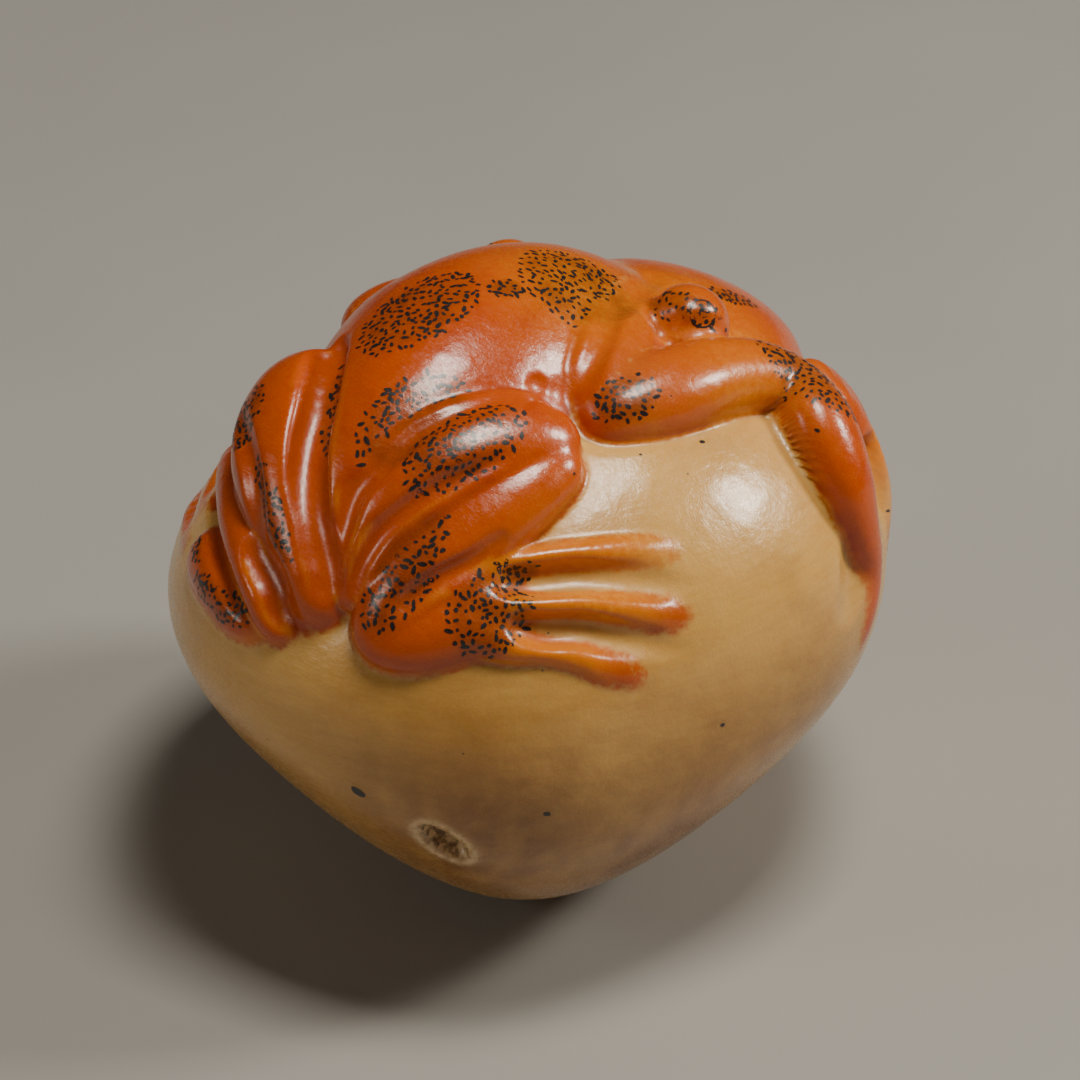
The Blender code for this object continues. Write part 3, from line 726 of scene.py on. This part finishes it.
def eye_lines(ground, points, faces, normals):
    """A drawn ring with a dot in it on each eye."""
    turns = np.linspace(0, 2 * np.pi, LINE_POINTS, endpoint=False)
    for side, centre in zip((1, -1), EYES):
        look = direction(side * EYE_LOOK[0], EYE_LOOK[1]).ravel()
        n = look / np.linalg.norm(look)
        u, v = frame_at(n, np.array((0.0, 0.0, 1.0)))
        middle = centre[0] + n * EYE_RADIUS
        circle = np.outer(np.cos(turns), u) + np.outer(np.sin(turns), v)
        for near, far in ((IRIS_RADIUS - LINE_WIDTH, IRIS_RADIUS), (0.01, PUPIL_RADIUS)):
            rows = [[ground.drop(middle + c * r, n, 1.2) for c in circle] for r in (near, far)]
            add_strip(rows, points, faces, normals)


def flecks(rng, ground, points, faces, normals):
    """Dark flecks with a slightly ragged outline."""
    turns = np.linspace(0, 2 * np.pi, FLECK_POINTS, endpoint=False)
    for azimuth, elevation, half_a, half_b in FLECKS:
        ray = direction(azimuth, elevation).ravel()
        at = ground.drop(np.array(NUT_CENTRE) + ray * 26.0, ray, 8.0)
        u, v = frame_at(at[1], np.cross(at[1], (0.0, 0.0, 1.0)) + (0.0, 0.0, 0.4))
        wobble = 1 + rng.uniform(-FLECK_WOBBLE, FLECK_WOBBLE, FLECK_POINTS)
        rim = [ground.drop(at[0] + (u * np.cos(t) * half_a + v * np.sin(t) * half_b) * w, at[1], 1.0)
               for t, w in zip(turns, wobble)]
        add_strip([[at] * FLECK_POINTS, rim], points, faces, normals)


def add_strip(rows, points, faces, normals):
    """A closed band of quads between two rings of surface points."""
    if any(m is None for row in rows for m in row):
        return
    count = len(rows[0])
    base = len(points)
    for row in rows:
        points += [m[0] + m[1] * MARK_LIFT for m in row]
        normals += [m[1] for m in row]
    for i in range(count):
        j = (i + 1) % count
        faces.append((base + i, base + count + i, base + count + j, base + j))


# Materials.
class Look:
    """A material being wired up, with lengths in mm."""

    def __init__(self, name):
        self.material = bpy.data.materials.new(name)
        self.material.use_nodes = True
        self.tree = self.material.node_tree
        self.shader = self.tree.nodes["Principled BSDF"]
        place = self.tree.nodes.new("ShaderNodeTexCoord")
        self.place = self.node("ShaderNodeVectorMath", place.outputs["Object"], operation="SCALE")
        self.place.node.inputs["Scale"].default_value = 1000.0

    def node(self, kind, *links, out=0, **values):
        """A new node: sockets fed in order by outputs or numbers; returns its output."""
        n = self.tree.nodes.new(kind)
        for key, value in values.items():
            setattr(n, key, value)
        for socket, value in zip([s for s in n.inputs if s.enabled], links):
            self.feed(socket, value)
        return n.outputs[out]

    def feed(self, socket, value):
        """Link or set one socket."""
        if value is None:
            return
        if isinstance(value, bpy.types.NodeSocket):
            self.tree.links.new(value, socket)
        else:
            socket.default_value = value

    def cloud(self, scale, detail=4.0, stretch=None, rough=0.55, seed=0.0):
        """Noise of 0 to 1, with scale in cells per mm."""
        place = self.node("ShaderNodeVectorMath", self.place, (seed, seed * 1.7, -seed), operation="ADD")
        if stretch is not None:
            place = self.node("ShaderNodeMapping", place)
            place.node.inputs["Rotation"].default_value = stretch[0]
            place.node.inputs["Scale"].default_value = stretch[1]
        n = self.tree.nodes.new("ShaderNodeTexNoise")
        self.feed(n.inputs["Vector"], place)
        n.inputs["Scale"].default_value = scale
        n.inputs["Detail"].default_value = detail
        n.inputs["Roughness"].default_value = rough
        return n.outputs["Fac"]

    def read(self, name):
        """A number stored at the mesh's points."""
        n = self.tree.nodes.new("ShaderNodeAttribute")
        n.attribute_name = name
        return n.outputs["Fac"]

    def math(self, operation, a, b=None, c=None):
        """One arithmetic step."""
        return self.node("ShaderNodeMath", a, b, c, operation=operation)

    def ramp(self, value, low, high, to_low=0.0, to_high=1.0):
        """Smooth change from one number to another."""
        n = self.tree.nodes.new("ShaderNodeMapRange")
        n.interpolation_type = "SMOOTHSTEP"
        for socket, v in zip(n.inputs, (value, low, high, to_low, to_high)):
            self.feed(socket, v)
        return n.outputs["Result"]

    def mix(self, factor, a, b):
        """Blend of two colours."""
        n = self.tree.nodes.new("ShaderNodeMix")
        n.data_type = "RGBA"
        self.feed(n.inputs["Factor"], factor)
        self.feed(n.inputs["A"], a)
        self.feed(n.inputs["B"], b)
        return n.outputs["Result"]

    def set(self, **values):
        """Shader sockets by name, with _ for spaces."""
        for key, value in values.items():
            self.feed(self.shader.inputs[key.replace("_", " ")], value)


CREAM = (0.80, 0.47, 0.13, 1.0)
CREAM_DEEP = (0.66, 0.35, 0.085, 1.0)
NUT_BROWN_AND_SHADE = (0.27, 0.100, 0.018, 1.0)
DYE_ORANGE = (0.56, 0.082, 0.001, 1.0)
DYE_RED_AND_CREASE_SHADE = (0.36, 0.018, 0.001, 1.0)
DYE_YELLOW_AND_HIGHLIGHT = (0.80, 0.27, 0.004, 1.0)
DYE_INKED = (0.18, 0.040, 0.002, 1.0)
DUST = (0.10, 0.05, 0.02, 1.0)
PORE_PALE = (0.78, 0.56, 0.30, 1.0)
PORE_DARK = (0.20, 0.10, 0.04, 1.0)


def tagua_look():
    """Polished vegetable ivory, cream to brown with painted shade low down, and orange dye on the frog."""
    k = Look("carved_tagua")
    broad = k.cloud(0.10, 3.0)
    middle = k.cloud(0.45, 4.0, seed=11.0)
    fine = k.cloud(2.2, 4.0, seed=5.0)
    grain = k.cloud(0.9, 3.0, stretch=((0.3, 0.2, 0.5), (0.35, 0.35, 3.0)), seed=3.0)
    deep = k.math("ADD", k.ramp(broad, 0.35, 0.7, 0.0, 0.6), k.ramp(grain, 0.3, 0.75, 0.0, 0.4))
    cream = k.mix(deep, CREAM, CREAM_DEEP)
    # Painted shade with the nut's own brown: the nut turns brown low down.
    brown = k.math("MULTIPLY", k.read("brown"), k.ramp(middle, 0.2, 0.7, 0.6, 1.0))
    cream = k.mix(brown, cream, NUT_BROWN_AND_SHADE)
    smudge = k.ramp(k.cloud(0.16, 4.0, seed=23.0), 0.54, 0.7)
    smudge = k.math("MULTIPLY", smudge, k.ramp(fine, 0.3, 0.7, 0.3, 0.7))
    cream = k.mix(k.math("MULTIPLY", smudge, 0.4), cream, NUT_BROWN_AND_SHADE)
    # Painted shade: the dye turns a darker red in creases; the red spots and the noise add the dye's own
    # deeper red.
    red = k.math("ADD", k.ramp(k.read("crease"), 0.05, 0.6), k.ramp(middle, 0.5, 0.75, 0.0, 0.35))
    red = k.math("ADD", red, k.math("MULTIPLY", k.read("red"), k.ramp(fine, 0.3, 0.7, 0.5, 1.0)))
    dye = k.mix(k.math("MINIMUM", red, 1.0), DYE_ORANGE, DYE_RED_AND_CREASE_SHADE)
    pale = k.math("MULTIPLY", k.read("yellow"), k.ramp(fine, 0.3, 0.7, 0.6, 1.0))
    # Painted highlight with worn thin dye: the dye turns paler yellow along ridges.
    pale = k.math("MAXIMUM", pale, k.ramp(k.read("ridge"), 0.18, 0.55, 0.0, 0.6))
    dye = k.mix(pale, dye, DYE_YELLOW_AND_HIGHLIGHT)
    dye = k.mix(k.math("MULTIPLY", k.read("inked"), k.ramp(middle, 0.3, 0.7, 0.25, 0.6)), dye, DYE_INKED)
    edge = k.math("ADD", k.read("dye"), k.math("MULTIPLY", k.math("SUBTRACT", fine, 0.5), 0.5))
    stain = k.math("MULTIPLY", k.ramp(edge, 0.42, 0.08), k.read("paint"))
    base = k.mix(stain, cream, dye)
    specks = k.node("ShaderNodeTexVoronoi", k.place, out=0)
    specks.node.inputs["Scale"].default_value = 0.6
    speck = k.math("MULTIPLY", k.ramp(specks, 0.06, 0.03), k.ramp(k.cloud(0.3, 1.0, seed=31.0), 0.55, 0.6))
    base = k.mix(k.math("MULTIPLY", speck, 0.8), base, DUST)
    rim = k.math("MULTIPLY", k.read("rim"), k.ramp(fine, 0.3, 0.6, 0.35, 0.9))
    base = k.mix(rim, base, PORE_PALE)
    base = k.mix(k.read("pore"), base, k.mix(k.ramp(fine, 0.35, 0.65), PORE_DARK, PORE_PALE))
    scratch_a = k.cloud(1.4, 2.0, stretch=((0.4, 0.1, 0.9), (0.4, 9.0, 9.0)), seed=7.0)
    scratch_b = k.cloud(1.1, 2.0, stretch=((-0.7, 0.5, -0.4), (0.3, 8.0, 8.0)), seed=17.0)
    scratches = k.math("ADD", scratch_a, scratch_b)
    rough = k.math("ADD", k.ramp(fine, 0.25, 0.75, 0.16, 0.26), k.ramp(scratches, 0.9, 1.25, 0.0, 0.14))
    rough = k.math("ADD", rough, k.ramp(k.read("hollow"), 0.1, 0.6, 0.0, 0.12))
    height = k.math("ADD", k.math("MULTIPLY", scratches, 0.010), k.math("MULTIPLY", fine, 0.020))
    height = k.math("ADD", height, k.math("MULTIPLY", middle, 0.12))
    height = k.math("SUBTRACT", height, k.math("MULTIPLY", speck, 0.03))
    bump = k.node("ShaderNodeBump")
    k.feed(bump.node.inputs["Height"], height)
    bump.node.inputs["Distance"].default_value = MM
    bump.node.inputs["Strength"].default_value = 0.8
    k.set(Base_Color=base, Roughness=rough, Normal=bump, IOR=1.54, Subsurface_Weight=0.35,
          Subsurface_Radius=(1.0, 0.45, 0.18), Subsurface_Scale=0.0016,
          Coat_Weight=0.25, Coat_Roughness=0.12)
    return k.material


def ink_look():
    """Black pen ink under the polish."""
    k = Look("pen_ink")
    tone = k.mix(k.cloud(1.5, 3.0), (0.006, 0.006, 0.007, 1.0), (0.028, 0.024, 0.026, 1.0))
    k.set(Base_Color=tone, Roughness=k.ramp(k.cloud(3.0, 2.0, seed=4.0), 0.3, 0.7, 0.28, 0.42), IOR=1.5,
          Coat_Weight=0.35, Coat_Roughness=0.22)
    return k.material


def floor_look():
    """Plain pale paper."""
    k = Look("pale_floor")
    tone = k.mix(k.cloud(0.02, 2.0), (0.33, 0.325, 0.31, 1.0), (0.38, 0.375, 0.36, 1.0))
    k.set(Base_Color=tone, Roughness=0.8)
    return k.material


# The scene.
def smooth_step(value, low, high):
    """0 below low, 1 above high."""
    t = np.clip((value - low) / (high - low), 0, 1)
    return t * t * (3 - 2 * t)


def carve_scene():
    """The carving with its ink."""
    verts, quads = build_body()
    normals = vertex_normals(verts, quads)
    ripple = 0.035 * noise_at(verts, 0.16) + 0.012 * noise_at(verts, 0.6, offset=9.0)
    verts = verts + normals * ripple[:, None]
    verts[:, 2] = np.where(verts[:, 2] < BASE_LEVEL + 0.05, BASE_LEVEL, verts[:, 2])
    if vertex_turn(verts, quads) < 0:
        quads = quads[:, ::-1]
    owned = parts(verts)
    owners = np.where(owned.min(axis=1) < INK_REACH, np.argmin(owned, axis=1), -1)
    crease, hollow, ridge = surface_shade(verts, normals)
    pore = ellipsoid(verts, PORE_POINT, PORE_HALF_SIZE, PORE_AXES)
    body = new_piece("carved_body", verts, quads.tolist())
    attach(body, "dye", owned.min(axis=1))
    attach(body, "paint", 1 - zone(verts, WORN_SPOTS))
    # Crease depth, which the material turns into painted shade.
    attach(body, "crease", crease)
    attach(body, "hollow", hollow)
    # Ridge height, which the material turns into worn dye and painted highlight.
    attach(body, "ridge", ridge)
    # Brown low on the nut: the nut's own brown and painted shade.
    attach(body, "brown", zone(verts, BROWN_AND_SHADE_SPOTS))
    attach(body, "yellow", zone(verts, YELLOW_SPOTS))
    attach(body, "red", zone(verts, RED_SPOTS))
    frames = patch_frames()
    attach(body, "inked", inked(verts, frames))
    attach(body, "pore", 1 - smooth_step(pore, 0.0, 0.12))
    attach(body, "rim", np.exp(-((pore - PORE_RIM[0]) / PORE_RIM[1]) ** 2))
    body.data.materials.append(tagua_look())
    points, faces, mark_normals = stipple(Ground(verts, quads, normals, owners), frames)
    ink = new_piece("pen_marks", points, faces, mark_normals)
    ink.data.materials.append(ink_look())
    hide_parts(NODE)
    for piece in (body, ink):
        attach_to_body(piece, "root")


def vertex_turn(verts, quads):
    """Positive when the quads wind outwards."""
    a, b, c, d = (verts[quads[:, i]] for i in range(4))
    return (np.cross(c - a, d - b) * ((a + c) / 2 - np.array(NUT_CENTRE))).sum()


def sun_ray(azimuth, elevation):
    """Unit vector from the object towards a light."""
    return Vector(direction(azimuth, elevation).tolist())


def add_light(name, azimuth, elevation, distance, size, power):
    """A square soft box aimed at the carving."""
    data = bpy.data.lights.new(name, "AREA")
    data.shape = "SQUARE"
    data.size = size
    data.energy = power
    data.color = LIGHT_COLOUR
    ob = bpy.data.objects.new(name, data)
    ray = sun_ray(azimuth, elevation)
    ob.location = ray * distance * MM + Vector((0, 0, 0.02))
    ob.rotation_euler = ray.to_track_quat("Z", "Y").to_euler()
    bpy.context.scene.collection.objects.link(ob)


def studio():
    """Pale floor, soft lights and the camera."""
    bpy.ops.mesh.primitive_plane_add(size=4.0)
    floor = bpy.context.object
    floor.name = "floor"
    floor.data.materials.append(floor_look())
    add_light("key", *KEY_LIGHT)
    add_light("top", *TOP_LIGHT)
    add_light("side", *SIDE_LIGHT)
    world = bpy.data.worlds.new("room")
    world.use_nodes = True
    world.node_tree.nodes["Background"].inputs["Color"].default_value = (*ROOM, 1.0)
    bpy.context.scene.world = world
    azimuth, elevation, distance = CAMERA
    target = to_part(np.array([CAMERA_TARGET]))[0]
    away = direction(azimuth, elevation)
    data = bpy.data.cameras.new("camera")
    data.lens = LENS
    data.sensor_width = SENSOR
    data.clip_start = 0.01
    camera = bpy.data.objects.new("camera", data)
    camera.location = target + away * distance * MM
    camera.rotation_euler = Vector(away).to_track_quat("Z", "Y").to_euler()
    bpy.context.scene.collection.objects.link(camera)
    bpy.context.scene.camera = camera


carve_scene()
studio()
